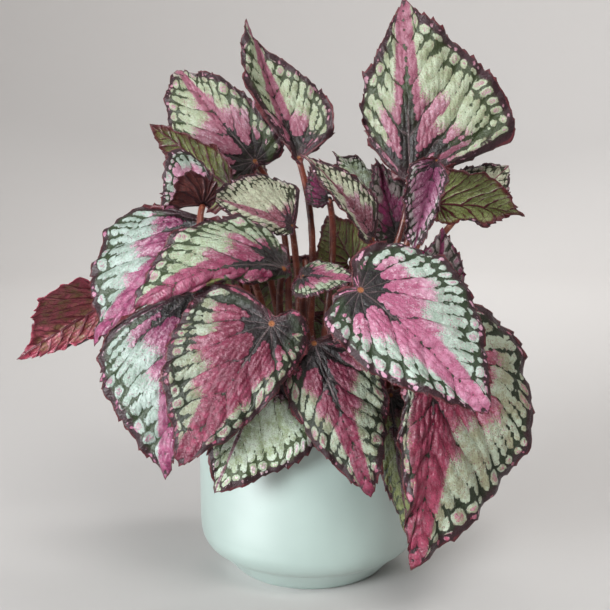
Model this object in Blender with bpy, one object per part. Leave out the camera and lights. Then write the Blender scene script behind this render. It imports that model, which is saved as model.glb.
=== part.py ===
"""Potted salsa rex begonia: a glazed pot, its soil, and leaves that each stand on a stem of their own.

Millimetres are used throughout and turned into metres as each mesh is made.
The origin is the middle of the pot's base, +Z is up and -Y is the side that the leaves show best.
"""
import math

import bpy
import numpy as np

METRES = 0.001

# Pot
POT_RADIUS = 70.0
POT_HEIGHT = 116.0
POT_WALL = 5.0
POT_FOOT_RADIUS = 47.0
POT_FLOOR = 7.0
POT_CREASE_HEIGHT = 13.0
POT_SHOULDER_HEIGHT = 33.0
POT_SEGMENTS = 48
# The inside widens from the floor to these two levels, given as radius and height
POT_HOLLOW_TURN = (58.0, 19.0)
POT_HOLLOW_WALL = (65.0, 41.0)

# Soil
SOIL_TOP = 99.0
SOIL_DOME = 4.0
SOIL_FLOOR_GAP = 0.35
SOIL_SIDE_GAP = 0.65
SOIL_RINGS = 5
SOIL_SEGMENTS = 24

# Stems
STEM_RADIUS_LOW = 2.6
STEM_RADIUS_HIGH = 2.0
STEM_DEPTH = 14.0
STEM_SIDES = 6
STEM_SEGMENTS = 6
# How far above the soil a stem starts to curve, and shares of its reach that steer its two ends
STEM_STRAIGHT = 5.0
STEM_RISE = 0.42
STEM_ARRIVAL = 0.34
STEM_HOLE_GAP = 0.45
STEM_HOLE_SIDES = 6

# Blades, each made of rings of points: how many, and their share of the way from the stem to the margin
BLADE_THICKNESS = 0.8
LARGE_RINGS = ((6, 0.0), (12, 0.27), (24, 0.60), (48, 1.0))
SMALL_RINGS = ((6, 0.0), (12, 0.45), (24, 1.0))
TOOTH_DEPTH = 1.1

# One side of a blade from its tip: share of the length in front of the stem, and of the half width
TIP_OUTLINE = ((1.00, 0.00), (0.94, 0.12), (0.86, 0.28), (0.74, 0.52), (0.58, 0.78), (0.41, 0.95),
               (0.24, 1.00))
# The rest of that side, with shares of the lobe behind the stem, or of the taper in front of it
LOBE_OUTLINE = ((-0.42, 0.84), (-0.84, 0.62), (-1.00, 0.38), (-0.88, 0.18), (-0.55, 0.06))
TAPER_OUTLINE = ((1.25, 0.84), (0.80, 0.62), (0.40, 0.38), (0.10, 0.18), (-0.05, 0.08))
# Widest point beside a lobe, and how many times the taper's reach the tip's outline keeps off
LOBE_WIDEST = (0.06, 0.97)
TAPER_CLEAR = 1.35
# The margin passes this far behind the stem
SINUS_GAP = 2.5

# Each leaf: where its stem meets the blade, where its tip is, and the way its upper face looks.
# Half widths, lobes behind the stem, curls and folds are given for its left and its right side, seen
# from above the upper face with the tip ahead. A positive bend, curl or fold turns down, and a lobe
# below zero is a base that tapers in front of the stem. The wave of the margin has a height, a number
# of waves and a start. Lean is how far the stem comes in along the blade, slim above 1 pinches a side
# towards the tip, soil is where the stem enters the soil, and small leaves have fewer triangles.
LEAVES = {
    "leaf_upright_right": dict(
        attach=(63, 16, 244), tip=(58, 26, 357), faces=(0.05, -1.0, 0.05), soil=(30, 6),
        half=(35, 67), lobe=(-24, -16), slim=(1.1, 1.1), bend=12, curl=(55, 5), fold=(5, 0),
        wave=(2.5, 5, 0.5), lean=3, tone="rose"),
    "leaf_upright_centre": dict(
        attach=(-7, 15, 258), tip=(-40, 25, 344), faces=(0.26, -0.96, 0.1), soil=(-1, 10),
        half=(25, 31), lobe=(-44, -5), slim=(0.7, 2.2), bend=-10, curl=(-20, -10), fold=(-25, -15),
        wave=(1.5, 5, 0.0), lean=3, tone="silver"),
    "leaf_upper_left": dict(
        attach=(-35, 28, 256), tip=(-88, 62, 315), faces=(-0.2, -0.9, 0.35), soil=(-14, 22),
        half=(38, 24), lobe=(8, 8), bend=60, curl=(10, 10), fold=(-15, -20),
        wave=(3.0, 5, 1.0), lean=2, tone="silver"),
    "leaf_turned_left": dict(
        attach=(-49, 0, 239), tip=(-98, 2, 279), faces=(0.1, 0.9, 0.4), soil=(-20, 4),
        half=(15, 22), lobe=(-6, 4), bend=20, curl=(10, 10), fold=(0, 0),
        wave=(2.0, 5, 0.0), small=True, tone="olive"),
    "leaf_rolled_left": dict(
        attach=(-63, -30, 231), tip=(-90, -42, 264), faces=(-0.3, 0.2, 0.9), soil=(-30, -14),
        half=(18, 17), lobe=(2, 2), bend=30, curl=(30, 30), fold=(0, 0),
        wave=(1.5, 4, 0.0), small=True, tone="red"),
    "leaf_fan": dict(
        attach=(-11, -14, 218), tip=(-64, -24, 236), faces=(0.1, -0.75, 0.65), soil=(-6, -4),
        half=(9, 34), lobe=(2, 2), bend=10, curl=(20, 10), fold=(0, 0),
        wave=(1.5, 5, 0.0), tone="silver"),
    "leaf_narrow": dict(
        attach=(37, -22, 211), tip=(-6, -32, 261), faces=(0.4, -0.85, 0.3), soil=(14, -8),
        half=(18, 16), lobe=(-6, -10), bend=45, curl=(-20, 10), fold=(-30, -10),
        wave=(1.0, 5, 0.0), lean=2, tone="rose"),
    "leaf_folded": dict(
        attach=(75, -18, 257), tip=(60, -42, 206), faces=(-0.1, -1.0, 0.2), soil=(44, 12),
        half=(12, 20), lobe=(-8, -8), slim=(0.6, 0.6), bend=10, curl=(-20, -20), fold=(-30, -35),
        wave=(1.5, 4, 0.0), tone="rose"),
    "leaf_turned_right": dict(
        attach=(81, 18, 229), tip=(135, 8, 222), faces=(0.0, 0.8, 0.6), soil=(48, -6),
        half=(14, 32), lobe=(4, 2), bend=35, curl=(20, 20), fold=(0, 0),
        wave=(2.0, 5, 0.0), tone="olive"),
    "leaf_behind_right": dict(
        attach=(103, 40, 226), tip=(131, 46, 253), faces=(0.1, -0.9, 0.4), soil=(48, 26),
        half=(20, 20), lobe=(4, 4), bend=20, curl=(10, 10), fold=(0, 0),
        wave=(1.5, 4, 0.0), lean=2, small=True, tone="silver"),
    "leaf_left": dict(
        attach=(-57, -12, 218), tip=(-130, -26, 146), faces=(-0.35, -0.8, 0.5), soil=(-36, 2),
        half=(24, 65), lobe=(-8, -20), bend=40, curl=(20, 20), fold=(0, 0),
        wave=(2.5, 5, 0.0), tone="rose"),
    "leaf_far_left": dict(
        attach=(-129, 20, 167), tip=(-193, 25, 127), faces=(-0.2, 0.9, 0.4), soil=(-48, 14),
        half=(42, 18), lobe=(4, 4), slim=(2.2, 1.2), bend=10, curl=(20, 20), fold=(20, 20),
        wave=(2.0, 4, 0.0), tone="red"),
    "leaf_mid_left": dict(
        attach=(-15, -56, 197), tip=(-99, -82, 174), faces=(0.0, -0.7, 0.7), soil=(-14, -28),
        half=(9, 41), lobe=(6, 12), bend=85, curl=(60, 10), fold=(20, 0),
        wave=(2.0, 5, 0.0), tone="rose"),
    "leaf_small_front": dict(
        attach=(-4, -58, 193), tip=(25, -74, 193), faces=(0.1, -0.7, 0.7), soil=(2, -26),
        half=(14, 15), lobe=(4, 4), bend=10, curl=(20, 10), fold=(0, 0),
        wave=(1.0, 4, 0.0), small=True, tone="rose"),
    "leaf_front_left": dict(
        attach=(-67, -52, 184), tip=(-81, -80, 81), faces=(-0.1, -0.95, 0.3), soil=(-38, -26),
        half=(20, 55), lobe=(4, -22), bend=45, curl=(20, 20), fold=(0, 5),
        wave=(2.5, 5, 0.0), tone="rose"),
    "leaf_front_centre_left": dict(
        attach=(-21, -88, 171), tip=(-70, -106, 97), faces=(-0.1, -0.95, 0.25), soil=(-20, -44),
        half=(24, 44), lobe=(14, 8), bend=30, curl=(30, 10), fold=(0, 0),
        wave=(2.5, 5, 0.0), tone="red"),
    "leaf_low_pale": dict(
        attach=(-25, -72, 141), tip=(-53, -88, 76), faces=(0.0, -0.97, 0.2), soil=(-8, -54),
        half=(43, 22), lobe=(2, 2), bend=15, curl=(10, 10), fold=(0, 0),
        wave=(1.5, 5, 0.0), tone="silver"),
    "leaf_front_dark": dict(
        attach=(2, -82, 159), tip=(33, -98, 77), faces=(0.0, -0.95, 0.3), soil=(6, -50),
        half=(32, 25), lobe=(2, 2), bend=30, curl=(30, 30), fold=(5, 5),
        wave=(2.0, 5, 0.0), tone="red"),
    "leaf_front_pink": dict(
        attach=(26, -100, 191), tip=(91, -122, 130), faces=(0.15, -0.85, 0.5), soil=(22, -36),
        half=(46, 30), lobe=(16, 8), bend=30, curl=(10, 20), fold=(0, 0),
        wave=(2.0, 5, 0.0), tone="rose"),
    "leaf_lower_right": dict(
        attach=(69, -76, 154), tip=(55, -100, 36), faces=(0.3, -0.93, 0.2), soil=(44, -34),
        half=(68, 18), lobe=(30, 4), slim=(1.1, 1.1), bend=30, curl=(20, 30), fold=(0, 0),
        wave=(2.5, 5, 0.0), tone="red"),
    "leaf_sliver": dict(
        attach=(46, -66, 126), tip=(57, -78, 46), faces=(-0.5, -0.85, 0.0), soil=(30, -50),
        half=(18, 14), lobe=(2, 2), slim=(0.7, 0.7), bend=10, curl=(10, 10), fold=(0, 0),
        wave=(1.5, 4, 0.0), small=True, tone="olive"),
    "leaf_back_silver": dict(
        attach=(47, 46, 226), tip=(15, 52, 262), faces=(0.3, -0.6, 0.7), soil=(20, 28),
        half=(18, 20), lobe=(4, 2), bend=20, curl=(10, 10), fold=(0, 0),
        wave=(2.5, 7, 0.0), lean=2, small=True, tone="silver"),
    "leaf_mid_dark": dict(
        attach=(57, 32, 207), tip=(42, 34, 258), faces=(0.3, -0.95, 0.1), soil=(36, 22),
        half=(18, 18), lobe=(4, 4), bend=10, curl=(10, 10), fold=(-20, -20),
        wave=(1.5, 5, 0.0), lean=2, small=True, tone="plum"),
    "leaf_small_purple": dict(
        attach=(12, 2, 233), tip=(1, -2, 256), faces=(0.2, -0.95, 0.2), soil=(7, 0),
        half=(12, 12), lobe=(2, 2), bend=10, curl=(20, 20), fold=(0, 0),
        wave=(1.0, 4, 0.0), lean=2, small=True, tone="plum"),
    "leaf_behind_pink": dict(
        attach=(73, -45, 177), tip=(75, -50, 220), faces=(0.1, -0.95, 0.3), soil=(44, -20),
        half=(16, 16), lobe=(3, 3), bend=10, curl=(10, 10), fold=(0, 0),
        wave=(1.5, 4, 0.0), small=True, tone="plum"),
    "leaf_olive_centre": dict(
        attach=(27, 20, 192), tip=(11, 34, 221), faces=(0.1, 0.85, 0.5), soil=(20, 16),
        half=(20, 26), lobe=(4, 4), bend=10, curl=(10, 10), fold=(0, 0),
        wave=(1.5, 4, 0.0), lean=2, small=True, tone="olive"),
    "leaf_back_left": dict(
        attach=(-55, 42, 198), tip=(-113, 100, 124), faces=(-0.4, 0.8, 0.5), soil=(-30, 30),
        half=(36, 40), lobe=(4, 6), bend=40, curl=(15, 15), fold=(0, 0),
        wave=(2.5, 5, 0.0), tone="rose"),
    "leaf_back_low_left": dict(
        attach=(-63, 44, 158), tip=(-99, 92, 62), faces=(-0.3, 0.9, 0.4), soil=(-42, 34),
        half=(32, 36), lobe=(4, 6), bend=30, curl=(15, 15), fold=(0, 0),
        wave=(2.5, 5, 0.3), tone="red"),
    "leaf_back_centre": dict(
        attach=(-3, 72, 188), tip=(-13, 138, 90), faces=(0.0, 0.8, 0.6), soil=(-4, 36),
        half=(40, 38), lobe=(6, 6), bend=45, curl=(15, 15), fold=(0, 0),
        wave=(2.5, 5, 0.6), tone="rose"),
    "leaf_back_low_centre": dict(
        attach=(0, 64, 150), tip=(17, 106, 44), faces=(0.1, 0.9, 0.4), soil=(8, 50),
        half=(34, 34), lobe=(4, 4), bend=30, curl=(15, 15), fold=(0, 0),
        wave=(2.5, 5, 0.1), tone="silver"),
    "leaf_back_right": dict(
        attach=(60, 62, 178), tip=(96, 114, 94), faces=(0.4, 0.8, 0.5), soil=(24, 42),
        half=(34, 32), lobe=(4, 4), bend=40, curl=(15, 15), fold=(0, 0),
        wave=(2.5, 5, 0.4), tone="rose"),
    "leaf_back_low_right": dict(
        attach=(63, 46, 132), tip=(95, 82, 46), faces=(0.5, 0.8, 0.3), soil=(38, 40),
        half=(30, 32), lobe=(4, 4), bend=30, curl=(15, 15), fold=(0, 0),
        wave=(2.5, 5, 0.8), tone="red"),
    "leaf_back_upper_left": dict(
        attach=(-30, 66, 250), tip=(-66, 108, 278), faces=(-0.3, 0.75, 0.6), soil=(-16, 38),
        half=(22, 24), lobe=(4, 4), bend=35, curl=(15, 15), fold=(0, 0),
        wave=(2.0, 5, 0.2), lean=1.5, tone="silver"),
    "leaf_back_upper_right": dict(
        attach=(68, 62, 250), tip=(96, 92, 300), faces=(0.3, 0.85, 0.4), soil=(10, 38),
        half=(26, 26), lobe=(4, 4), bend=30, curl=(15, 15), fold=(-10, -10),
        wave=(2.0, 5, 0.7), lean=2, tone="rose"),
    "leaf_right_low": dict(
        attach=(78, 2, 150), tip=(116, -2, 84), faces=(0.85, 0.0, 0.5), soil=(56, 10),
        half=(26, 32), lobe=(4, 5), bend=35, curl=(15, 15), fold=(0, 0),
        wave=(2.5, 5, 0.4), tone="rose"),
}

# Base colours as red, green and blue, by tone
TONES = {
    "rose": (0.50, 0.25, 0.32),
    "silver": (0.45, 0.50, 0.38),
    "red": (0.40, 0.09, 0.15),
    "olive": (0.20, 0.20, 0.08),
    "plum": (0.17, 0.05, 0.09),
}
LEAF_ROUGHNESS = 0.45
GLAZE_COLOUR = (0.62, 0.76, 0.68)
GLAZE_ROUGHNESS = 0.3
PEAT_COLOUR = (0.05, 0.03, 0.02)
PEAT_ROUGHNESS = 0.95


def unit(vector):
    vector = np.asarray(vector, float)
    return vector / np.linalg.norm(vector)


def smooth_curve(points, samples):
    """Points spaced evenly by length along a smooth spline through the given points."""
    points = np.asarray(points, float)
    padded = np.vstack([2 * points[0] - points[1], points, 2 * points[-1] - points[-2]])
    dense = []
    for a, b, c, d in zip(padded, padded[1:], padded[2:], padded[3:]):
        for t in np.linspace(0, 1, 16, endpoint=False):
            dense.append(0.5 * (2 * b + (c - a) * t + (2 * a - 5 * b + 4 * c - d) * t**2
                                + (3 * b - a - 3 * c + d) * t**3))
    dense = np.array(dense + [points[-1]])
    lengths = np.concatenate([[0], np.cumsum(np.linalg.norm(np.diff(dense, axis=0), axis=1))])
    wanted = np.linspace(0, lengths[-1], samples)
    return np.stack([np.interp(wanted, lengths, dense[:, k]) for k in range(points.shape[1])], axis=1)


class Leaf:
    """The shape of one leaf: a flat outline, and the way that it is bent into place."""

    def __init__(self, attach, tip, faces, half, lobe, bend, curl, fold, wave, soil, tone, lean=0.6,
                 slim=(1.0, 1.0), small=False):
        self.attach = np.array(attach, float)
        chord = np.array(tip, float) - self.attach
        self.chord = unit(chord)
        normal = np.array(faces, float)
        self.normal = unit(normal - self.chord * normal.dot(self.chord))
        self.bend = math.radians(bend)
        half_bend = self.bend / 2
        self.length = np.linalg.norm(chord) * (half_bend / math.sin(half_bend) if abs(bend) > 1 else 1.0)
        self.half, self.lobe = half, lobe
        self.curl = [math.radians(a) for a in curl]
        self.fold = [math.radians(a) for a in fold]
        self.wave, self.soil, self.lean = wave, soil, lean
        self.slim, self.tone = slim, tone
        self.rings = SMALL_RINGS if small else LARGE_RINGS

    def outline(self, count):
        """The margin in the flat blade, left side first: count points, with the tip first."""
        sides = []
        for half, lobe, slim in zip(self.half, self.lobe, self.slim):
            side = [(x * self.length, y**slim * half) for x, y in TIP_OUTLINE]
            side = [point for point in side if point[0] > -TAPER_CLEAR * lobe]
            if lobe > 0:
                side.append((LOBE_WIDEST[0] * self.length, LOBE_WIDEST[1] * half))
            side += [(x * abs(lobe), y * half) for x, y in (LOBE_OUTLINE if lobe > 0 else TAPER_OUTLINE)]
            side.append((min(-0.4 * lobe, -STEM_RADIUS_HIGH - SINUS_GAP), 0.0))
            sides.append(smooth_curve(side, count // 2 + 1))
        left, right = sides
        sinus = (left[-1] + right[-1]) / 2
        right = right * (1, -1)
        return np.vstack([left[:-1], [sinus], right[1:-1][::-1]])

    def frames(self, x):
        """Points, directions and normals along the midrib, at distances x from the stem."""
        along = np.clip(x, 0, None)
        turned = self.bend / 2 - self.bend * along / self.length
        start = self.bend / 2
        if abs(self.bend) > 0.02:
            radius = self.length / self.bend
            forward = radius * (math.sin(start) - np.sin(turned))
            up = radius * (np.cos(turned) - math.cos(start))
        else:
            forward, up = along, np.zeros_like(along)
        behind = np.clip(x, None, 0)
        forward = forward + behind * math.cos(start)
        up = up + behind * math.sin(start)
        points = self.attach + forward[:, None] * self.chord + up[:, None] * self.normal
        direction = np.cos(turned)[:, None] * self.chord + np.sin(turned)[:, None] * self.normal
        normal = -np.sin(turned)[:, None] * self.chord + np.cos(turned)[:, None] * self.normal
        return points, direction, normal

    def place(self, flat, share, around):
        """Flat blade points bent into place. share is 0 at the stem and 1 at the margin, and around
        runs from 0 to 1 round the margin."""
        x, y = flat[:, 0], flat[:, 1]
        points, direction, normal = self.frames(x)
        across = np.cross(normal, direction)
        out = np.abs(y)
        side = (y < 0).astype(int)
        rate = np.array([c / h for c, h in zip(self.curl, self.half)])[side]
        rate = np.where(np.abs(rate) < 1e-5, 1e-5, rate)
        fold = np.array(self.fold)[side]
        sideways = (np.sin(fold + rate * out) - np.sin(fold)) / rate
        drop = (np.cos(fold) - np.cos(fold + rate * out)) / rate
        size, count, phase = self.wave
        lift = size * share**3 * np.sin(2 * math.pi * (count * around + phase))
        return points + np.sign(y)[:, None] * sideways[:, None] * across + (lift - drop)[:, None] * normal

    def stem_path(self, samples):
        """The stem's centre line, from just under the blade down into the soil."""
        points, direction, normal = self.frames(np.array([0.0]))
        top = points[0] - normal[0] * BLADE_THICKNESS / 2
        arrive = unit(normal[0] + self.lean * direction[0])
        soil = np.array([*self.soil, SOIL_TOP + STEM_STRAIGHT])
        reach = np.linalg.norm(top - soil)
        a, b = soil + (0, 0, STEM_RISE * reach), top - arrive * STEM_ARRIVAL * reach
        t = np.linspace(0, 1, samples)[:, None]
        curve = (1 - t)**3 * soil + 3 * (1 - t)**2 * t * a + 3 * (1 - t) * t**2 * b + t**3 * top
        foot = np.array([[*self.soil, SOIL_TOP - STEM_DEPTH]])
        return np.vstack([foot, curve])[::-1]


def ring_strip(inner, outer):
    """Triangles between two closed rings of indices, the outer with as many points or twice as many."""
    faces = []
    count = len(inner)
    for i in range(count):
        j = (i + 1) % count
        if len(outer) == count:
            faces += [(inner[i], outer[i], outer[j]), (inner[i], outer[j], inner[j])]
        else:
            a, b, c = outer[2 * i], outer[2 * i + 1], outer[(2 * i + 2) % len(outer)]
            faces += [(inner[i], a, b), (inner[i], b, inner[j]), (inner[j], b, c)]
    return faces


def vertex_normals(points, faces):
    corners = points[np.array(faces)]
    face_normals = np.cross(corners[:, 1] - corners[:, 0], corners[:, 2] - corners[:, 0])
    normals = np.zeros_like(points)
    for k in range(3):
        np.add.at(normals, np.array(faces)[:, k], face_normals)
    return normals / np.linalg.norm(normals, axis=1)[:, None]


def leaf_mesh(leaf):
    """Points and triangles of a leaf: the blade's two faces and rim, and the stem under it."""
    margin_points = leaf.rings[-1][0]
    outline = leaf.outline(margin_points)
    outward = unit_rows(outline)
    teeth = TOOTH_DEPTH * np.where(np.arange(margin_points) % 2 == 0, 1, -1)
    teeth[[0, margin_points // 2]] = 0
    outline = outline + outward * teeth[:, None]
    flat, share, around, rings = [np.zeros((1, 2))], [np.zeros(1)], [np.zeros(1)], []
    start = 1
    for count, ring_share in leaf.rings:
        step = margin_points // count
        angle = np.arange(count) / count
        round_stem = spoke_directions(count) * STEM_RADIUS_HIGH
        flat.append(round_stem + (outline[::step] - round_stem) * ring_share)
        share.append(np.full(count, ring_share))
        around.append(angle)
        rings.append(list(range(start, start + count)))
        start += count
    flat, share, around = np.vstack(flat), np.concatenate(share), np.concatenate(around)
    middle = leaf.place(flat, share, around)
    top_faces = [(0, rings[0][i], rings[0][(i + 1) % STEM_SIDES]) for i in range(STEM_SIDES)]
    for inner, outer in zip(rings, rings[1:]):
        top_faces += ring_strip(inner, outer)
    normals = vertex_normals(middle, top_faces)
    upper = middle + normals * BLADE_THICKNESS / 2
    lower = middle - normals * BLADE_THICKNESS / 2
    count = len(middle)
    faces = list(top_faces)
    faces += [(c + count, b + count, a + count) for a, b, c in top_faces[STEM_SIDES:]]
    rim = rings[-1]
    faces += ring_strip(rim, [i + count for i in rim])
    path = leaf.stem_path(STEM_SEGMENTS + 1)
    stem_points = stem_rings(path, lower[rings[0]])
    points = np.vstack([upper, lower, stem_points])
    previous = [i + count for i in rings[0]]
    start = 2 * count
    for _ in range(len(stem_points) // STEM_SIDES):
        ring = list(range(start, start + STEM_SIDES))
        faces += ring_strip(previous, ring)
        previous, start = ring, start + STEM_SIDES
    faces += [(previous[0], previous[i + 1], previous[i]) for i in range(1, STEM_SIDES - 1)]
    # The lower face's middle point isn't used, because the stem stands there
    keep = np.ones(len(points), bool)
    keep[count] = False
    index = np.cumsum(keep) - 1
    return points[keep], [tuple(int(index[i]) for i in face) for face in faces]


def unit_rows(rows):
    return rows / np.maximum(np.linalg.norm(rows, axis=1), 1e-9)[:, None]


def spoke_directions(count):
    angle = 2 * math.pi * np.arange(count) / count
    return np.stack([np.cos(angle), np.sin(angle)], axis=1)


def stem_rings(path, top_ring):
    """Rings of points down the stem, turned as little as may be from the ring under the blade."""
    centre = top_ring.mean(0)
    axis = top_ring[0] - centre
    rings = []
    count = len(path)
    for i in range(1, count):
        after = path[min(i + 1, count - 1)]
        direction = unit(path[i - 1] - after)
        axis = unit(axis - direction * axis.dot(direction))
        other = np.cross(direction, axis)
        radius = STEM_RADIUS_HIGH + (STEM_RADIUS_LOW - STEM_RADIUS_HIGH) * i / (count - 1)
        for x, y in spoke_directions(STEM_SIDES):
            rings.append(path[i] + radius * (x * axis + y * other))
    return np.array(rings)


def material(name, colour, roughness):
    made = bpy.data.materials.new(name)
    made.use_nodes = True
    shader = made.node_tree.nodes["Principled BSDF"]
    shader.inputs["Base Color"].default_value = (*colour, 1)
    shader.inputs["Roughness"].default_value = roughness
    shader.inputs["Metallic"].default_value = 0.0
    return made


def add_object(name, points, faces, made_of, smooth=True):
    mesh = bpy.data.meshes.new(name)
    mesh.from_pydata([tuple(p * METRES) for p in points], [], faces)
    mesh.materials.append(made_of)
    if smooth:
        mesh.shade_smooth()
        mesh.set_sharp_from_angle(angle=math.radians(50))
    made = bpy.data.objects.new(name, mesh)
    bpy.context.scene.collection.objects.link(made)
    return made


def turned(profile, segments):
    """A closed surface turned round the Z axis from (radius, height) points that start and end on it."""
    points, rings = [], []
    for radius, height in profile:
        if radius < 1e-6:
            rings.append([len(points)])
            points.append((0, 0, height))
            continue
        rings.append(list(range(len(points), len(points) + segments)))
        points += [(radius * x, radius * y, height) for x, y in spoke_directions(segments)]
    faces = []
    for lower, upper in zip(rings, rings[1:]):
        if len(lower) == 1:
            faces += [(lower[0], upper[(i + 1) % segments], upper[i]) for i in range(segments)]
        elif len(upper) == 1:
            faces += [(lower[i], lower[(i + 1) % segments], upper[0]) for i in range(segments)]
        else:
            faces += ring_strip(upper, lower)
    return np.array(points, float), faces


def arc(centre, radius, start, end, steps):
    """Points (radius, height) on an arc, with angles in degrees from the outward direction."""
    angles = np.radians(np.linspace(start, end, steps))
    return [(centre[0] + radius * math.cos(a), centre[1] + radius * math.sin(a)) for a in angles]


def pot_profile():
    """Outside from the base up, over the rim and down the inside, as (radius, height)."""
    # A cone rises from the foot to a soft crease, and the wall is rounded above it
    outer = smooth_curve([(POT_RADIUS - 11, POT_CREASE_HEIGHT), (POT_RADIUS - 4.5, POT_CREASE_HEIGHT + 4.5),
                          (POT_RADIUS - 1, POT_CREASE_HEIGHT + 11), (POT_RADIUS, POT_SHOULDER_HEIGHT)], 6)
    rim = arc((POT_RADIUS - POT_WALL / 2, POT_HEIGHT - POT_WALL / 2), POT_WALL / 2, 0, 180, 5)
    return [(0, 0), (POT_FOOT_RADIUS, 0), *map(tuple, outer), *rim, *hollow_profile()]


def hollow_profile():
    """The pot's inside below its straight wall, from the top down."""
    return [POT_HOLLOW_WALL, POT_HOLLOW_TURN, (POT_FOOT_RADIUS, POT_FLOOR), (0, POT_FLOOR)]


def inside_radius(height):
    """The pot's inner radius at a height."""
    radii, heights = zip(*hollow_profile()[2::-1])
    return float(np.interp(height, heights, radii))


def soil_profile():
    floor = POT_FLOOR + SOIL_FLOOR_GAP
    levels = (floor, POT_HOLLOW_TURN[1] + SOIL_FLOOR_GAP, POT_HOLLOW_WALL[1])
    sides = [(inside_radius(level) - SOIL_SIDE_GAP, level) for level in levels]
    edge = POT_HOLLOW_WALL[0] - SOIL_SIDE_GAP
    top = [(edge, SOIL_TOP - 1)]
    for k in range(SOIL_RINGS - 1, 0, -1):
        share = k / SOIL_RINGS
        top.append((edge * share, SOIL_TOP + SOIL_DOME * (1 - share**2)))
    return [(0, floor)] + sides + top + [(0, SOIL_TOP + SOIL_DOME)]


def cut_stem_holes(soil):
    """Cuts a plain hole in the soil for each stem. The cutter is one mesh of separate prisms."""
    radius = (STEM_RADIUS_LOW + STEM_HOLE_GAP) / math.cos(math.pi / STEM_HOLE_SIDES)
    low, high = SOIL_TOP - STEM_DEPTH - STEM_HOLE_GAP, SOIL_TOP + SOIL_DOME + 10
    hole_points, hole_faces = turned([(0, low), (radius, low), (radius, high), (0, high)], STEM_HOLE_SIDES)
    points, faces = [], []
    for sizes in LEAVES.values():
        faces += [tuple(i + len(points) for i in face) for face in hole_faces]
        points += list(hole_points + (*sizes["soil"], 0))
    holes = add_object("stem_holes", points, faces, soil.data.materials[0], smooth=False)
    holes.hide_render = True
    holes.display_type = "WIRE"
    cut = soil.modifiers.new("stem_holes", "BOOLEAN")
    cut.operation = "DIFFERENCE"
    cut.object = holes
    cut.solver = "EXACT"


def main():
    for old in list(bpy.data.objects):
        bpy.data.objects.remove(old)
    glaze = material("mint_glaze", GLAZE_COLOUR, GLAZE_ROUGHNESS)
    peat = material("peat", PEAT_COLOUR, PEAT_ROUGHNESS)
    add_object("pot", *turned(pot_profile(), POT_SEGMENTS), glaze)
    soil = add_object("soil", *turned(soil_profile(), SOIL_SEGMENTS), peat)
    cut_stem_holes(soil)
    for name, sizes in LEAVES.items():
        leaf = Leaf(**sizes)
        add_object(name, *leaf_mesh(leaf), material(name, TONES[leaf.tone], LEAF_ROUGHNESS))


main()
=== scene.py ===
"""Looks of the potted rex begonia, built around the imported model.

Lengths in the tables are millimetres, turned into metres as each mesh is made. The origin is the middle
of the pot's base, +Z is up and the photograph looks along +Y.
"""
import math

import bpy
import numpy as np
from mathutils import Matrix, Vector

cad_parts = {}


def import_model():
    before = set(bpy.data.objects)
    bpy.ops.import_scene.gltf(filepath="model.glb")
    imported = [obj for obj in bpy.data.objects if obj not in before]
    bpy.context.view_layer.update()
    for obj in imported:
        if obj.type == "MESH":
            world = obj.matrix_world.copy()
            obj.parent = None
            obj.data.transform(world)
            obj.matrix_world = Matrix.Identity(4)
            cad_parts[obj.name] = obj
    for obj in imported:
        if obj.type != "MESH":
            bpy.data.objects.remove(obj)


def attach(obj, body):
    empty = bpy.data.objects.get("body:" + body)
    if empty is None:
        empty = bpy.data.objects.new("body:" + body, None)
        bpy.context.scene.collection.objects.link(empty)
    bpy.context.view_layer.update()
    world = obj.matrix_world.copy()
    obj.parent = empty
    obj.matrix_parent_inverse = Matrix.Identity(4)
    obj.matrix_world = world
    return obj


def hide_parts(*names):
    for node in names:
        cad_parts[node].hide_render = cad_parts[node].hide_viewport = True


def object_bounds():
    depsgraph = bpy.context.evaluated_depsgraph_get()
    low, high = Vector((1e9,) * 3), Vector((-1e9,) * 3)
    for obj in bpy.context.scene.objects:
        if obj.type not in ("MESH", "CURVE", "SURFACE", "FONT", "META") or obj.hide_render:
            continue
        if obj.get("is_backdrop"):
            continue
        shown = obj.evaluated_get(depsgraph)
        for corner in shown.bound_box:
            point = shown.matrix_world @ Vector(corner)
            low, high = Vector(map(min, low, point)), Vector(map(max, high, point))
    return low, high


METRES = 0.001

# Pot and soil, as in the model
POT_RADIUS = 70.0
POT_HEIGHT = 116.0
POT_WALL = 5.0
POT_FOOT_RADIUS = 47.0
POT_FLOOR = 7.0
POT_CREASE_HEIGHT = 13.0
POT_SHOULDER_HEIGHT = 33.0
POT_HOLLOW_TURN = (58.0, 19.0)
POT_HOLLOW_WALL = (65.0, 41.0)
POT_SEGMENTS = 160
SOIL_TOP = 99.0
SOIL_DOME = 4.0
SOIL_EDGE = 64.3
SOIL_SIDES = ((0, 8.0), (45.5, 8.0), (56.5, 20.0), (SOIL_EDGE - 0.4, 42.0), (SOIL_EDGE, SOIL_TOP - 1.5))
# Widths and heights of the lumps on the soil, and the number and sizes of its loose crumbs
SOIL_LUMPS = ((9.0, 0.9), (4.5, 0.8), (2.4, 0.55))
CRUMBS = 900
CRUMB_SIZES = (0.7, 2.2)

# Stems, as in the model but with more sides
STEM_RADIUS_LOW = 2.6
STEM_RADIUS_HIGH = 2.0
STEM_DEPTH = 14.0
STEM_STRAIGHT = 5.0
STEM_RISE = 0.42
STEM_ARRIVAL = 0.34
STEM_SIDES = 12
STEM_RINGS = 30
HAIRS_PER_MM = 1.6
STEM_HAIR_REACH = (0.8, 2.3)
STEM_HAIR_RADIUS = 0.10

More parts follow.
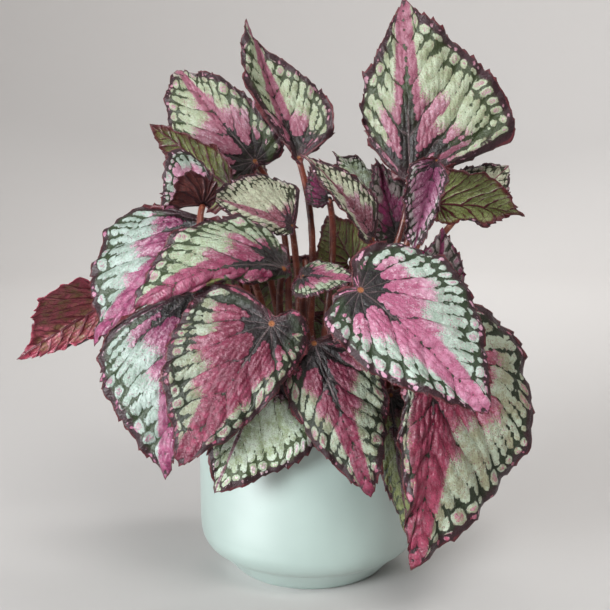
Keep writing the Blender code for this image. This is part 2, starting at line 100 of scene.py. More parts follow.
# Blades
BLADE_THICKNESS = 0.8
MARGIN_THICKNESS = 0.45
TIP_OUTLINE = ((1.00, 0.00), (0.94, 0.12), (0.86, 0.28), (0.74, 0.52), (0.58, 0.78), (0.41, 0.95),
               (0.24, 1.00))
LOBE_OUTLINE = ((-0.42, 0.84), (-0.84, 0.62), (-1.00, 0.38), (-0.88, 0.18), (-0.55, 0.06))
TAPER_OUTLINE = ((1.25, 0.84), (0.80, 0.62), (0.40, 0.38), (0.10, 0.18), (-0.05, 0.08))
LOBE_WIDEST = (0.06, 0.97)
TAPER_CLEAR = 1.35
SINUS_GAP = 2.5
SINUS_SHARE = 0.4
# Share of the length over which a roll begins and ends
ROLL_EASE = 0.25
# Wanted distance of points along the margin and of rings, and the fewest and most of each
MARGIN_STEP = 1.5
RING_STEP = 2.4
SPOKE_GROUPS = (8, 14)
GROUP_SPOKES = 16
RING_RANGE = (20, 44)
# One tooth, as shares of its depth at points towards the tip
TOOTH = (0.0, 0.45, 1.0, -0.35)
TOOTH_DEPTH = 1.35
BUMP_DEPTH = 1.2
MARGIN_HAIRS_PER_MM = 0.55
MARGIN_HAIR_REACH = (0.5, 1.3)
MARGIN_HAIR_RADIUS = 0.07
# An ordinary leaf's length with half its width, the range of mark sizes as shares of its own, and the
# half width under which a side has a narrower margin
ORDINARY_SIZE = 150.0
SIZE_RANGE = (0.38, 1.15)
ORDINARY_HALF = 34.0
# The step from leaf to leaf in the pattern, how far a blade sinks inside its margin, and the heights and
# numbers of its frills
LEAF_OFFSET = 9.0
DISH = 1.4
FRILLS = ((1.6, 8), (1.2, 15), (0.8, 26))
# How gently points are eased back from the sides of the model's box
EASE = 0.7
# How far the middle of a blade stays from the pot
POT_GAP = 0.9

# The camera, from the pot's outline in the photo
CAMERA_PLACE = (-0.003, -0.617, 0.265)
CAMERA_PITCH = 9.0
CAMERA_LENS = 18.0 * 997.6 / 305.0

# The pale floor: its flat radius, the radius of its upward curve, and the wall's height
FLOOR_FLAT = 1500.0
FLOOR_CURVE = 800.0
WALL_TOP = 2600.0

# Each lamp's place, aim and size in metres, power in watts, colour and spread in degrees. The gleam only
# adds the soft reflection on the glaze.
LAMPS = {
    "window": ((-1.42, -1.40, 0.52), (0, 0, 0.15), (0.9, 0.95), 11.5, (0.95, 0.98, 1.0), 80),
    "skylight": ((0.35, -0.95, 1.25), (0, 0, 0.2), (0.8, 0.6), 11, (1.0, 0.99, 0.97), 180),
    "from_behind": ((0.1, 1.6, 1.05), (0, 0, 0.2), (1.0, 0.7), 8, (1.0, 0.99, 0.97), 180),
    "wall_wash": ((0.6, 0.7, 2.0), (0.6, 2.3, 0.5), (2.0, 0.8), 28, (1.0, 0.985, 0.97), 180),
    "gleam": ((-1.15, -0.72, 0.30), (0, 0, 0.1), (0.28, 0.55), 3.4, (0.96, 0.98, 1.0), 60),
}
WORLD_COLOUR = (0.93, 0.95, 1.0)
WORLD_STRENGTH = 0.11

# Veins on a blade, with lengths for a leaf of ordinary size: how far they bend towards the tip, the angle
# at which they leave the midrib, their distance along it, and the angle between those round the stem
VEIN_SWEEP = 0.0035
VEIN_SPREAD = 0.68
VEIN_PITCH = 24.0
VEIN_FAN = 0.45

# Each leaf's blade: where it meets its stem, its tip, the way that it faces, its stem's place in the soil,
# the widths and lobes of its two sides, its bend along the midrib, the curl and fold of its two sides, all
# three in degrees, and the height, number and phase of its waves
SHAPES = """
upright_right,63 16 244,58 26 357,0.05 -1 0.05,30 6,35 67,-24 -16,12,55 5,5 0,2.5 5 0.5
upright_centre,-7 15 258,-40 25 344,0.26 -0.96 0.1,-1 10,25 31,-44 -5,-10,-20 -10,-25 -15,1.5 5 0
upper_left,-35 28 256,-88 62 315,-0.2 -0.9 0.35,-14 22,38 24,8 8,60,10 10,-15 -20,3 5 1
turned_left,-49 0 239,-98 2 279,0.1 0.9 0.4,-20 4,15 22,-6 4,20,10 10,0 0,2 5 0
rolled_left,-63 -30 231,-90 -42 264,-0.3 0.2 0.9,-30 -14,18 17,2 2,30,30 30,0 0,1.5 4 0
fan,-11 -14 218,-64 -24 236,0.1 -0.75 0.65,-6 -4,9 34,2 2,10,20 10,0 0,1.5 5 0
narrow,37 -22 211,-6 -32 261,0.4 -0.85 0.3,14 -8,18 16,-6 -10,45,-20 10,-30 -10,1 5 0
folded,75 -18 257,60 -42 206,-0.1 -1 0.2,44 12,12 20,-8 -8,10,-20 -20,-30 -35,1.5 4 0
turned_right,81 18 229,135 8 222,0 0.8 0.6,48 -6,14 32,4 2,35,20 20,0 0,2 5 0
behind_right,103 40 226,131 46 253,0.1 -0.9 0.4,48 26,20 20,4 4,20,10 10,0 0,1.5 4 0
left,-57 -12 218,-130 -26 146,-0.35 -0.8 0.5,-36 2,24 65,-8 -20,40,20 20,0 0,2.5 5 0
far_left,-129 20 167,-193 25 127,-0.2 0.9 0.4,-48 14,42 18,4 4,10,20 20,20 20,2 4 0
mid_left,-15 -56 197,-99 -82 174,0 -0.7 0.7,-14 -28,9 41,6 12,85,60 10,20 0,2 5 0
small_front,-4 -58 193,25 -74 193,0.1 -0.7 0.7,2 -26,14 15,4 4,10,20 10,0 0,1 4 0
front_left,-67 -52 184,-81 -80 81,-0.1 -0.95 0.3,-38 -26,20 55,4 -22,45,20 20,0 5,2.5 5 0
front_centre_left,-21 -88 171,-70 -106 97,-0.1 -0.95 0.25,-20 -44,24 44,14 8,30,30 10,0 0,2.5 5 0
low_pale,-25 -72 141,-53 -88 76,0 -0.97 0.2,-8 -54,43 22,2 2,15,10 10,0 0,1.5 5 0
front_dark,2 -82 159,33 -98 77,0 -0.95 0.3,6 -50,32 25,2 2,30,30 30,5 5,2 5 0
front_pink,26 -100 191,91 -122 130,0.15 -0.85 0.5,22 -36,46 30,16 8,30,10 20,0 0,2 5 0
lower_right,69 -76 154,55 -100 36,0.3 -0.93 0.2,44 -34,68 18,30 4,30,20 30,0 0,2.5 5 0
sliver,46 -66 126,57 -78 46,-0.5 -0.85 0,30 -50,18 14,2 2,10,10 10,0 0,1.5 4 0
back_silver,47 46 226,15 52 262,0.3 -0.6 0.7,20 28,18 20,4 2,20,10 10,0 0,2.5 7 0
mid_dark,57 32 207,42 34 258,0.3 -0.95 0.1,36 22,18 18,4 4,10,10 10,-20 -20,1.5 5 0
small_purple,12 2 233,1 -2 256,0.2 -0.95 0.2,7 0,12 12,2 2,10,20 20,0 0,1 4 0
behind_pink,73 -45 177,75 -50 220,0.1 -0.95 0.3,44 -20,16 16,3 3,10,10 10,0 0,1.5 4 0
olive_centre,27 20 192,11 34 221,0.1 0.85 0.5,20 16,20 26,4 4,10,10 10,0 0,1.5 4 0
back_left,-55 42 198,-113 100 124,-0.4 0.8 0.5,-30 30,36 40,4 6,40,15 15,0 0,2.5 5 0
back_low_left,-63 44 158,-99 92 62,-0.3 0.9 0.4,-42 34,32 36,4 6,30,15 15,0 0,2.5 5 0.3
back_centre,-3 72 188,-13 138 90,0 0.8 0.6,-4 36,40 38,6 6,45,15 15,0 0,2.5 5 0.6
back_low_centre,0 64 150,17 106 44,0.1 0.9 0.4,8 50,34 34,4 4,30,15 15,0 0,2.5 5 0.1
back_right,60 62 178,96 114 94,0.4 0.8 0.5,24 42,34 32,4 4,40,15 15,0 0,2.5 5 0.4
back_low_right,63 46 132,95 82 46,0.5 0.8 0.3,38 40,30 32,4 4,30,15 15,0 0,2.5 5 0.8
back_upper_left,-30 66 250,-66 108 278,-0.3 0.75 0.6,-16 38,22 24,4 4,35,15 15,0 0,2 5 0.2
back_upper_right,68 62 250,96 92 300,0.3 0.85 0.4,10 38,26 26,4 4,30,15 15,-10 -10,2 5 0.7
right_low,78 2 150,116 -2 84,0.85 0 0.5,56 10,26 32,4 5,35,15 15,0 0,2.5 5 0.4
"""

# Upper side colours, linear: silver patch, its duller tint, pink patch, its deeper tint, green and star.
# The plum palette is painted shade: dark colours for leaves that sit in shaded gaps.
PALETTES = """
mint,0.48 0.58 0.51,0.33 0.42 0.35,0.63 0.285 0.42,0.36 0.078 0.165,0.025 0.042 0.018,0.011 0.006 0.009
wine,0.43 0.53 0.48,0.29 0.38 0.32,0.52 0.13 0.27,0.18 0.016 0.075,0.034 0.055 0.024,0.011 0.006 0.009
lime,0.42 0.48 0.34,0.3 0.34 0.21,0.45 0.19 0.26,0.24 0.06 0.1,0.038 0.052 0.02,0.013 0.007 0.009
red,0.41 0.47 0.36,0.28 0.28 0.18,0.42 0.07 0.135,0.17 0.012 0.036,0.018 0.025 0.012,0.011 0.006 0.007
crimson,0.38 0.44 0.34,0.25 0.27 0.17,0.36 0.048 0.115,0.12 0.008 0.028,0.017 0.024 0.011,0.01 0.005 0.007
olive,0.19 0.22 0.07,0.11 0.13 0.04,0.16 0.055 0.06,0.07 0.018 0.028,0.025 0.034 0.012,0.011 0.006 0.007
moss,0.43 0.52 0.38,0.29 0.35 0.22,0.46 0.115 0.21,0.19 0.02 0.06,0.034 0.052 0.018,0.011 0.006 0.009
fresh,0.6 0.64 0.47,0.41 0.41 0.29,0.42 0.17 0.22,0.22 0.055 0.08,0.038 0.042 0.02,0.03 0.012 0.018
rose,0.5 0.53 0.49,0.4 0.32 0.35,0.4 0.14 0.25,0.17 0.026 0.085,0.027 0.032 0.018,0.017 0.007 0.013
pale,0.64 0.75 0.62,0.38 0.47 0.28,0.34 0.17 0.19,0.15 0.05 0.08,0.059 0.084 0.034,0.038 0.017 0.026
plum,0.22 0.18 0.17,0.14 0.1 0.1,0.22 0.032 0.1,0.08 0.013 0.036,0.018 0.018 0.01,0.011 0.005 0.007
"""
# On every upper side: the margin, its very edge, veins on dark and on pale places, the spot at the stem
MARGIN_COLOUR = (0.034, 0.011, 0.016)
EDGE_COLOUR = (0.13, 0.022, 0.030)
PALE_VEIN = (0.12, 0.078, 0.082)
DARK_VEIN = (0.050, 0.012, 0.026)
STEM_SPOT = (0.33, 0.11, 0.03)
# Underside colours, linear: between the veins, blotches there, near the margin, and the veins
UNDERSIDES = """
olive,0.085 0.098 0.026,0.15 0.168 0.042,0.095 0.014 0.018,0.07 0.009 0.013
maroon,0.06 0.014 0.014,0.12 0.03 0.026,0.06 0.01 0.013,0.026 0.005 0.007
ruby,0.4 0.085 0.12,0.21 0.125 0.055,0.33 0.05 0.085,0.13 0.016 0.028
sage,0.175 0.205 0.06,0.26 0.3 0.115,0.11 0.016 0.022,0.08 0.011 0.016
"""
# Each leaf's upper palette and underside, where its pink fades on the way to the margin, and, in
# millimetres, how far the pink reaches beside the midrib and how large the dark star is
LOOKS = """
upright_right,lime,olive,0.55,10,27
upright_centre,lime,olive,0.42,9,17
upper_left,lime,olive,0.6,8,18
turned_left,mint,olive,0.5,8,18
rolled_left,mint,maroon,0.78,8,9
fan,fresh,olive,0.3,9,10
narrow,fresh,olive,0.52,7,13
folded,rose,maroon,0.8,10,12
turned_right,mint,sage,0.5,8,18
behind_right,fresh,olive,0.12,1,6
left,wine,olive,0.6,13,16
far_left,red,ruby,0.6,10,18
mid_left,moss,olive,0.5,12,20
small_front,moss,olive,0.58,10,20
front_left,wine,olive,0.52,12,16
front_centre_left,crimson,maroon,0.66,16,14
low_pale,pale,olive,0.24,1.8,14
front_dark,crimson,maroon,0.58,12,23
front_pink,mint,olive,0.58,13,13
lower_right,red,maroon,0.56,15,13
sliver,olive,olive,0.3,3,14
back_silver,pale,olive,0.1,2,8
mid_dark,plum,maroon,0.6,8,16
small_purple,plum,maroon,0.8,12,14
behind_pink,plum,maroon,0.45,3,14
olive_centre,mint,olive,0.5,8,16
back_left,wine,olive,0.5,12,18
back_low_left,red,maroon,0.58,12,18
back_centre,mint,olive,0.58,13,18
back_low_centre,red,olive,0.55,9,16
back_right,rose,olive,0.55,12,18
back_low_right,mint,maroon,0.55,11,18
back_upper_left,lime,olive,0.45,8,15
back_upper_right,lime,olive,0.52,10,16
right_low,mint,olive,0.55,12,17
"""
# How much larger or smaller some leaves' marks are than their size would give
MARK_SIZES = {"fan": 0.75, "narrow": 0.8, "back_silver": 0.8, "behind_right": 1.7, "behind_pink": 1.8,
              "rolled_left": 1.5, "mid_dark": 1.3}
# Margins that roll over, which the solids leave open: the side, where the roll starts beside the midrib,
# the degrees that it turns, and the shares of the length where it begins and ends
ROLLS = {
    "turned_right": (0, 6.0, 120.0, 0.0, 0.9),
    "turned_left": (0, 9.0, 100.0, 0.3, 1.0),
    "far_left": (1, 8.0, 110.0, 0.1, 0.7),
}
NO_ROLL = (0, 1e3, 0.0, 0.0, 1.0)
# One leaf is cupped as in the photo, where the solids have it open
CUPPED = """
rolled_left,-63 -30 231,-84 -42 227,-0.1 -0.1 1,-30 -14,20 34,8 9,25,-20 -15,-68 -58,2.2 5 0.3
"""
# Sides whose outline is fuller or slimmer than an ordinary leaf's
SLIM = {"upright_right": (1.1, 1.1), "upright_centre": (0.7, 2.2), "folded": (0.6, 0.6),
        "far_left": (2.2, 1.2), "lower_right": (1.1, 1.1), "sliver": (0.7, 0.7)}
# How far a stem leans along its blade where it arrives
LEAN = {"upright_right": 3, "upright_centre": 3, "upper_left": 2, "narrow": 2, "behind_right": 2,
        "back_silver": 2, "mid_dark": 2, "small_purple": 2, "olive_centre": 2, "back_upper_left": 1.5,
        "back_upper_right": 2}
ORDINARY_SLIM = (1.0, 1.0)
ORDINARY_LEAN = 0.6


def read_rows(table):
    """The cells of each row of a table, by the row's name."""
    rows = [line.split(",") for line in table.strip().splitlines()]
    return {row[0]: row[1:] for row in rows}


def numbers(cell):
    return tuple(float(word) for word in cell.split())


def unit(vector):
    return vector / np.linalg.norm(vector)


def unit_rows(rows):
    return rows / np.maximum(np.linalg.norm(rows, axis=1), 1e-9)[:, None]


def joined(operation):
    """A method that joins a wire and another value by a Math node."""
    return lambda self, other: calculate(operation, None, self, other)


class Wire:
    """A shader node's output that takes plain arithmetic, so that one formula serves a blade's mesh and
    its material."""

    __array_ufunc__ = None
    __add__ = __radd__ = joined("ADD")
    __sub__ = joined("SUBTRACT")
    __mul__ = __rmul__ = joined("MULTIPLY")
    __truediv__ = joined("DIVIDE")

    def __init__(self, nodes, socket):
        self.nodes, self.socket = nodes, socket

    def __rsub__(self, other):
        return calculate("SUBTRACT", None, other, self)


def calculate(operation, plain, *values):
    """A Math node where any value is a wire, and otherwise the plain function's result."""
    wires = [value for value in values if isinstance(value, Wire)]
    if wires:
        return wires[0].nodes.add("Math", 0, dict(enumerate(values)), operation=operation)
    return plain(*values)


def both(operation, plain):
    """A function of wires and arrays alike."""
    return lambda *values: calculate(operation, plain, *values)


absolute = both("ABSOLUTE", np.abs)
sine = both("SINE", np.sin)
root = both("SQRT", np.sqrt)
exponent = both("EXPONENT", np.exp)
floor = both("FLOOR", np.floor)
least = both("MINIMUM", np.minimum)
most = both("MAXIMUM", np.maximum)
heading = both("ARCTAN2", np.arctan2)
below = both("LESS_THAN", lambda p, q: (p < q).astype(float))


def plug(socket, value):
    """Links a wire to a socket, or sets the socket to a number or colour."""
    if isinstance(value, Wire):
        socket.id_data.links.new(value.socket, socket)
    elif isinstance(value, tuple):
        socket.default_value = (*value, 1)
    else:
        socket.default_value = value


def fraction(a):
    return a - floor(a)


def corner(a, b, radius):
    """Inside both shapes, with their corner rounded. Distances are positive inside and end at radius."""
    p, q = most(radius - a, 0.0), most(radius - b, 0.0)
    return radius - root(p * p + q * q)


def smooth(low, high, value):
    """0 at low and 1 at high, eased at both ends, also where low is above high."""
    if isinstance(value, Wire):
        inputs = {0: value, 1: low, 2: high}
        return value.nodes.add("MapRange", "Result", inputs, interpolation_type="SMOOTHSTEP")
    t = np.clip((value - low) / (high - low), 0, 1)
    return t * t * (3 - 2 * t)


def choose(share, a, b):
    """a where share is 0 and b where it is 1."""
    return a + share * (b - a)


def from_sides(place, width):
    """How far a place, from 0 to 1 across a strip of this width, is from the nearer side."""
    return (0.5 - absolute(place - 0.5)) * width


def pattern(x, y, z, edge, share, fade, band, star):
    """Veins and patches at a point of a blade, from arrays or from wires.

    x runs along the midrib and y across, z differs from leaf to leaf, edge is the distance to the
    margin and share the part of the way to it. Veins leave the midrib at one angle and fan out round the
    stem. Between two of them lie knobbly pale fingers, from the dark star to near the margin, and past
    their ends single ovals and dots.
    """
    slope = math.sin(VEIN_SPREAD)
    out = absolute(y)
    side = below(y, 0.0)
    ahead_of_stem = 1.0 - below(x, 0.0)
    swept = x - VEIN_SWEEP * out * out
    angle = heading(out, swept)
    radius = root(x * x + y * y)
    ahead = below(angle, VEIN_SPREAD)
    leaving = (swept - out / math.tan(VEIN_SPREAD)) / VEIN_PITCH
    column = choose(ahead, (VEIN_SPREAD - angle) / VEIN_FAN, leaving)
    width = choose(ahead, radius * VEIN_FAN, VEIN_PITCH * slope)
    along = choose(ahead, radius, out / slope)
    column += 0.07 * sine(0.16 * along + z + 2.0 * side)
    column += 0.03 * sine(0.47 * along + 2.3 * z + 5.0 * floor(2.0 * column))
    number = floor(column)
    inside = column - number
    quarters = fraction(4.0 * inside)
    main = from_sides(inside, width)
    quarter = from_sides(quarters, 0.25 * width) + 4.0 * smooth(22.0, 15.0, width)
    between = least(from_sides(fraction(2.0 * inside), 0.5 * width), quarter)
    key = number * 0.7549 + side * 0.3183 + z * 0.0687
    finger_key = key + floor(2.0 * inside) * 0.5698
    late, first, second = fraction(key), fraction(finger_key * 3.17), fraction(finger_key * 7.31)
    third = fraction(finger_key * 11.83)
    knob = absolute(sine((along * (0.17 + 0.09 * third) + first) * math.pi))

    near = radius / star
    banded = smooth(1.0, 0.4, out / (band * (0.45 + 0.55 * smooth(105.0, 40.0, x)))) * ahead_of_stem
    narrowing = 0.25 - 0.4 * smooth(0.25, 0.45, share) + (1.2 - 1.0 * banded) * smooth(21.0, 8.0, edge)
    narrowing += 0.55 * smooth(0.75, 0.2, share)
    fingers = main - narrowing - 4.8 * exponent(0.0 - near * near) + 0.9 * knob * smooth(0.65, 0.2, share)
    midrib_gap = 0.25 + 0.17 * star * smooth(2.9, 0.9, x / star)
    fingers = corner(fingers, out - midrib_gap + 1.1 * absolute(sine(0.62 * x)), 2.5)
    fingers = corner(fingers, radius - 8.0 - 9.0 * late, 3.0)
    gap = (2.4 - 1.9 * banded) * smooth(32.0, 10.0, edge) - 0.9 - 1.1 * knob
    gap -= 1.3 * smooth(0.08, -0.22, share - fade)
    fingers = least(fingers, between - gap)
    neck = absolute(sine((along / 15.0 + second) * math.pi))
    fingers -= 6.0 * most(0.28 - neck, 0.0) * (1.0 - banded) * smooth(22.0, 11.0, edge)
    rim = edge + 7.0 * smooth(8.0, 1.5, out) * ahead_of_stem
    ends = (5.0 + 8.5 * second) * (0.5 + 0.5 * smooth(-0.3, 0.4, x / most(radius, 1.0)))
    ends *= 1.0 - 0.65 * banded
    fingers = corner(fingers, rim - ends, 3.0)
    oval = corner(between - 0.7, least(ends - 1.1 - rim, rim - 3.2 - 1.4 * third), 2.6)
    across = (quarters - 0.3 - 0.4 * third) * width * 0.25
    outward = rim - 1.5 - 2.0 * second
    dot_key = key + floor(4.0 * inside) * 0.2451
    dots = 2.5 * fraction(dot_key * 5.13) - 0.9 - root(across * across + outward * outward)
    light = most(most(fingers, oval), dots)

    pink = smooth(0.17, -0.17, share - fade - 0.24 * (first - 0.5))
    for other in (banded, 0.85 * smooth(5.0, 3.4, rim), 0.52 * smooth(0.8, 1.7, oval)):
        pink = most(pink, other)
    return dict(light=light, pink=pink, main=main, between=between, knob=knob, out=out, radius=radius,
                along=along, number=number + 0.37 * z, banded=banded)


def smooth_curve(points, samples):
    """Points spaced evenly by length along a smooth spline through the given points."""
    points = np.asarray(points, float)
    padded = np.vstack([2 * points[0] - points[1], points, 2 * points[-1] - points[-2]])
    a, b, c, d = (padded[k:len(points) - 1 + k, None] for k in range(4))
    t = np.arange(16)[:, None] / 16
    dense = b + ((c - a) * t + (2 * a - 5 * b + 4 * c - d) * t**2 + (3 * b - a - 3 * c + d) * t**3) / 2
    dense = np.vstack([dense.reshape(-1, points.shape[1]), points[-1:]])
    lengths = np.concatenate([[0], np.cumsum(np.linalg.norm(np.diff(dense, axis=0), axis=1))])
    wanted = np.linspace(0, lengths[-1], samples)
    return np.stack([np.interp(wanted, lengths, dense[:, k]) for k in range(points.shape[1])], axis=1)


def arc_offsets(distance, angle, rate):
    """How far along and below the level a path has come that starts at an angle and turns at a rate."""
    end = angle + rate * distance
    return np.array([np.sin(end) - np.sin(angle), np.cos(angle) - np.cos(end)]) / rate


class Leaf:
    """The shape of one leaf: a flat outline, and the way that it is bent into place."""

    def __init__(self, name, cells):
        values = [np.array(numbers(cell)) for cell in cells]
        self.attach, tip, faces, self.soil, self.half, self.lobe, bend, curl, fold, self.wave = values
        self.bend, self.curl, self.fold = math.radians(bend[0]), np.radians(curl), np.radians(fold)
        self.slim = SLIM.get(name, ORDINARY_SLIM)
        self.lean = LEAN.get(name, ORDINARY_LEAN)
        self.roll = ROLLS.get(name, NO_ROLL)
        chord = tip - self.attach
        self.chord = unit(chord)
        self.normal = unit(faces - self.chord * faces.dot(self.chord))
        self.start = self.bend / 2
        self.length = np.linalg.norm(chord) * self.start / math.sin(self.start)

    def outline(self, count):
        """The margin in the flat blade, left side first: count points, with the tip first."""
        sides = []
        for half, lobe, slim in zip(self.half, self.lobe, self.slim):
            side = [(x * self.length, y**slim * half) for x, y in TIP_OUTLINE]
            side = [point for point in side if point[0] > -TAPER_CLEAR * lobe]
            if lobe > 0:
                side.append((LOBE_WIDEST[0] * self.length, LOBE_WIDEST[1] * half))
            side += [(x * abs(lobe), y * half) for x, y in (LOBE_OUTLINE if lobe > 0 else TAPER_OUTLINE)]
            side.append((min(-SINUS_SHARE * lobe, -STEM_RADIUS_HIGH - SINUS_GAP), 0.0))
            sides.append(smooth_curve(side, count // 2 + 1))
        left, right = sides
        sinus = (left[-1] + right[-1]) / 2
        right = right * (1, -1)
        return np.vstack([left[:-1], [sinus], right[1:-1][::-1]])

    def frames(self, x):
        """Points, directions and normals along the midrib, at distances x from the stem. Behind the stem
        it runs on straight."""
        turned = self.start - self.bend * np.clip(x, 0, None) / self.length
        behind = np.clip(x, None, 0)
        radius = self.length / self.bend
        points = self.attach + self.mixed(
            radius * (math.sin(self.start) - np.sin(turned)) + behind * math.cos(self.start),
            radius * (np.cos(turned) - math.cos(self.start)) + behind * math.sin(self.start))
        cosine, sine_part = np.cos(turned), np.sin(turned)
        return points, self.mixed(cosine, sine_part), self.mixed(-sine_part, cosine)

    def mixed(self, forward, up):
        return forward[:, None] * self.chord + up[:, None] * self.normal

    def place(self, flat, share, around):
        """Flat blade points bent into place. share is 0 at the stem and 1 at the margin, and around
        runs from 0 to 1 round the margin."""
        x, y = flat.T
        points, direction, normal = self.frames(x)
        across = np.cross(normal, direction)
        side = (y < 0).astype(int)
        rate = (self.curl / self.half)[side]
        fold = self.fold[side]
        rolled, begin, turn, first, last = self.roll
        way = x / self.length
        window = smooth(first, first + ROLL_EASE, way) * smooth(last, last - ROLL_EASE, way)
        tighter = (side == rolled) * window * math.radians(turn) / (self.half[rolled] - begin)
        start = np.where(side == rolled, begin, NO_ROLL[1])
        open_part = np.minimum(np.abs(y), start)
        sideways, drop = (arc_offsets(open_part, fold, rate)
                          + arc_offsets(np.abs(y) - open_part, fold + rate * start, rate + tighter))
        size, count, phase = self.wave
        lift = size * share**3 * np.sin(2 * math.pi * (count * around + phase)) - drop
        return points + (np.sign(y) * sideways)[:, None] * across + lift[:, None] * normal

    def stem_path(self, samples):
        """The stem's centre line, from just under the blade down into the soil."""
        points, direction, normal = self.frames(np.zeros(1))
        top = points[0] - normal[0] * BLADE_THICKNESS / 2
        arrive = unit(normal[0] + self.lean * direction[0])
        soil = np.array([*self.soil, SOIL_TOP + STEM_STRAIGHT])
        reach = np.linalg.norm(top - soil)
        a, b = soil + (0, 0, STEM_RISE * reach), top - arrive * STEM_ARRIVAL * reach
        t = np.linspace(0, 1, samples)[:, None]
        curve = (1 - t)**3 * soil + 3 * (1 - t)**2 * t * a + 3 * (1 - t) * t**2 * b + t**3 * top
        return np.vstack([[*self.soil, SOIL_TOP - STEM_DEPTH], curve])[::-1]


def circle(count):
    """Points round a circle of radius 1."""
    turn = 2 * np.pi * np.arange(count) / count
    return np.stack([np.cos(turn), np.sin(turn)], 1)


def triangles(*corners):
    """Triangles from sets of three arrays, one for each corner."""
    return np.vstack([np.stack(three, 1) for three in corners])


def ring_faces(inner, count, outer, outer_count):
    """Triangles between two closed rings, the outer with as many points or twice as many."""
    i = np.arange(count)
    j = (i + 1) % count
    if outer_count == count:
        return triangles((inner + i, outer + i, outer + j), (inner + i, outer + j, inner + j))
    a, b, c = outer + 2 * i, outer + 2 * i + 1, outer + (2 * i + 2) % outer_count
    return triangles((inner + i, a, b), (inner + i, b, inner + j), (inner + j, b, c))


def point_normals(points, faces):
    a, b, c = points[faces.T]
    face_normals = np.cross(b - a, c - a)
    normals = np.zeros_like(points)
    for k in range(3):
        np.add.at(normals, faces[:, k], face_normals)
    return unit_rows(normals)


def perimeter(points):
    return np.linalg.norm(points - np.roll(points, 1, axis=0), axis=1).sum()


def blade_grid(leaf, rng):
    """Flat points of a blade, with the share of the way to the margin and the place round it, the
    triangles between them, and the margin without its teeth."""
    sample = leaf.outline(160)
    groups = int(np.clip(round(perimeter(sample) / GROUP_SPOKES / MARGIN_STEP), *SPOKE_GROUPS))
    spokes = GROUP_SPOKES * groups
    rings = int(np.clip(round(np.hypot(*sample.T).max() / RING_STEP), *RING_RANGE))
    plain = leaf.outline(spokes)
    order = np.arange(spokes)
    # Teeth lean towards the tip on both sides, and differ in size
    step = np.where(order < spokes // 2, -order, order) % len(TOOTH)
    size = np.repeat(rng.uniform(0.2, 1.0, spokes // len(TOOTH))**2 * 1.6, len(TOOTH))
    teeth = TOOTH_DEPTH * np.array(TOOTH)[step] * np.roll(size, 2)
    calm = np.minimum(np.minimum(order, spokes - order), np.abs(order - spokes // 2)) < 3
    knots = np.arange(0, spokes + 1, 6)
    bumps = rng.uniform(-1.0, 1.0, len(knots))
    bumps[-1] = bumps[0]
    teeth = teeth + BUMP_DEPTH * np.interp(order, knots, bumps)
    teeth[calm] *= 0.15
    outline = plain + unit_rows(plain) * teeth[:, None]
    first = np.arange(groups)
    faces = [triangles((0 * first, 1 + first, 1 + (first + 1) % groups))]
    flat, share, around, start, before = [np.zeros((1, 2))], [[0.0]], [[0.0]], 1, groups
    for ring in range(rings + 1):
        ring_share = (ring / rings)**0.92
        count = groups
        while count < spokes and count < spokes * ring_share * 2.0:
            count *= 2
        flat.append(choose(ring_share, STEM_RADIUS_HIGH * circle(count), outline[::spokes // count]))
        share.append(np.full(count, ring_share))
        around.append(np.arange(count) / count)
        if ring:
            faces.append(ring_faces(start - before, before, start, count))
        start += count
        before = count
    return np.vstack(flat), np.concatenate(share), np.concatenate(around), np.vstack(faces), plain


def margin_distance(flat, outline):
    """Distance from each flat point to the closed outline."""
    edge = np.roll(outline, -1, axis=0) - outline
    length = np.maximum((edge**2).sum(1), 1e-9)
    nearest = []
    for block in np.array_split(flat, 1 + len(flat) // 4000):
        away = block[:, None] - outline
        t = np.clip((away * edge).sum(2) / length, 0, 1)
        gap = away - t[..., None] * edge
        nearest.append(np.sqrt((gap**2).sum(2)).min(1))
    return np.concatenate(nearest)


def add_object(name, data):
    made = bpy.data.objects.new(name, data)
    bpy.context.scene.collection.objects.link(made)
    return made


def add_mesh(name, points, faces, materials, slots=None, fields=None):
    """A smooth mesh object from points in millimetres. fields are vectors for each point."""
    mesh = bpy.data.meshes.new(name)
    mesh.from_pydata((points * METRES).tolist(), [], faces.tolist())
    for made_of in materials:
        mesh.materials.append(made_of)
    if slots is not None:
        mesh.polygons.foreach_set("material_index", slots.astype(np.int32))
    mesh.validate()
    for field, values in (fields or {}).items():
        attribute = mesh.attributes.new(field, "FLOAT_VECTOR", "POINT")
        attribute.data.foreach_set("vector", values.astype(np.float32).ravel())
    mesh.shade_smooth()
    return add_object(name, mesh)


